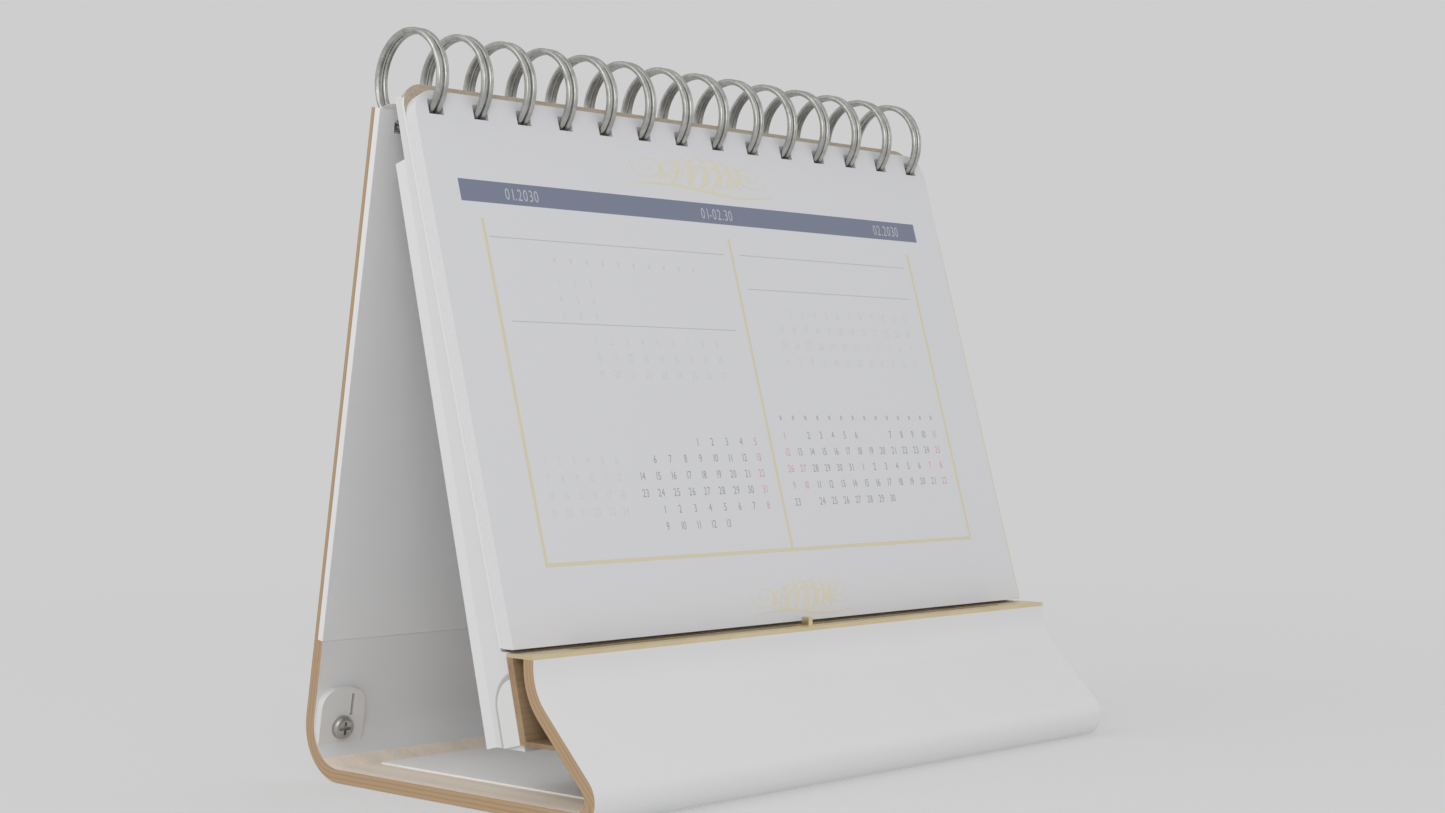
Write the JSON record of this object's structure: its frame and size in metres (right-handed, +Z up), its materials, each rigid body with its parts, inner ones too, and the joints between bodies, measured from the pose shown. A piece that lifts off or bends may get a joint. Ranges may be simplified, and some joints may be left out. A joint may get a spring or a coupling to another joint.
{
  "type": "flip desk calendar",
  "caption": "Desk calendar: printed leaves on a metal twin-loop wire lean on a bent plywood easel with a curved front lip and a slotted brass ledge.",
  "frame": {"origin": "on the ground, under the centre of the stand", "axes": "+X along the width, to the right seen from the front; +Y from the lip to the back board; +Z up"},
  "size_m": [0.178, 0.0956, 0.1676],
  "materials": {
    "white_ply": "satin white lacquer with bare edges",
    "bare_ply": "clear matt",
    "white_board": "matt",
    "grey_board": "matt",
    "white_plastic": "matt",
    "paper": "matt uncoated",
    "card": "matt",
    "brass": "satin",
    "steel": "nickel plated"
  },
  "bodies": {
    "root": {"stand_shell": "white_ply", "back_liner": "white_board", "base_mat": "white_board", "front_panel_shell": "white_board", "front_panel_back": "grey_board", "channel_wall": "bare_ply", "channel_floor": "bare_ply", "slotted_ledge": "brass", "ledge_divider": "brass", "corner_bracket_left": "white_plastic", "corner_bracket_right": "white_plastic", "foot_clip_left": "white_plastic", "foot_clip_right": "white_plastic", "bracket_screws": "steel", "wire_spine": "steel", "backing_card": "card", "leaf_02": "paper", "leaf_03": "paper", "leaf_04": "paper", "leaf_05": "paper", "leaf_06": "paper", "leaf_07": "paper", "leaf_08": "paper", "leaf_09": "paper", "leaf_10": "paper", "leaf_11": "paper", "leaf_12": "paper"},
    "front_loops": {"twin_loops_odd": "steel"},
    "front_leaf": {"leaf_01": "paper"},
    "cover_loops": {"twin_loops_even": "steel"},
    "cover": {"cover_leaf": "paper"}
  },
  "joints": [
    {"name": "front_leaf_travel", "type": "hinge", "parent": "root", "child": "front_loops", "pos_m": [0, 0.01795, 0.1561], "axis": [-1, 0, 0], "range_deg": [0, 270.82]},
    {"name": "front_leaf_swing", "type": "hinge", "parent": "front_loops", "child": "front_leaf", "pos_m": [0, 0.00969, 0.14914], "axis": [-1, 0, 0], "range_deg": [0, 63.5]},
    {"name": "cover_travel", "type": "hinge", "parent": "root", "child": "cover_loops", "pos_m": [0, 0.01795, 0.1561], "axis": [-1, 0, 0], "range_deg": [-270.59, 0]},
    {"name": "cover_swing", "type": "hinge", "parent": "cover_loops", "child": "cover", "pos_m": [0, 0.02439, 0.14743], "axis": [-1, 0, 0], "range_deg": [-63.74, 0]}
  ],
  "couplings": [
    {"joint": "front_leaf_swing", "follows": "front_leaf_travel", "ratio": 0.23444},
    {"joint": "cover_swing", "follows": "cover_travel", "ratio": 0.23552}
  ]
}
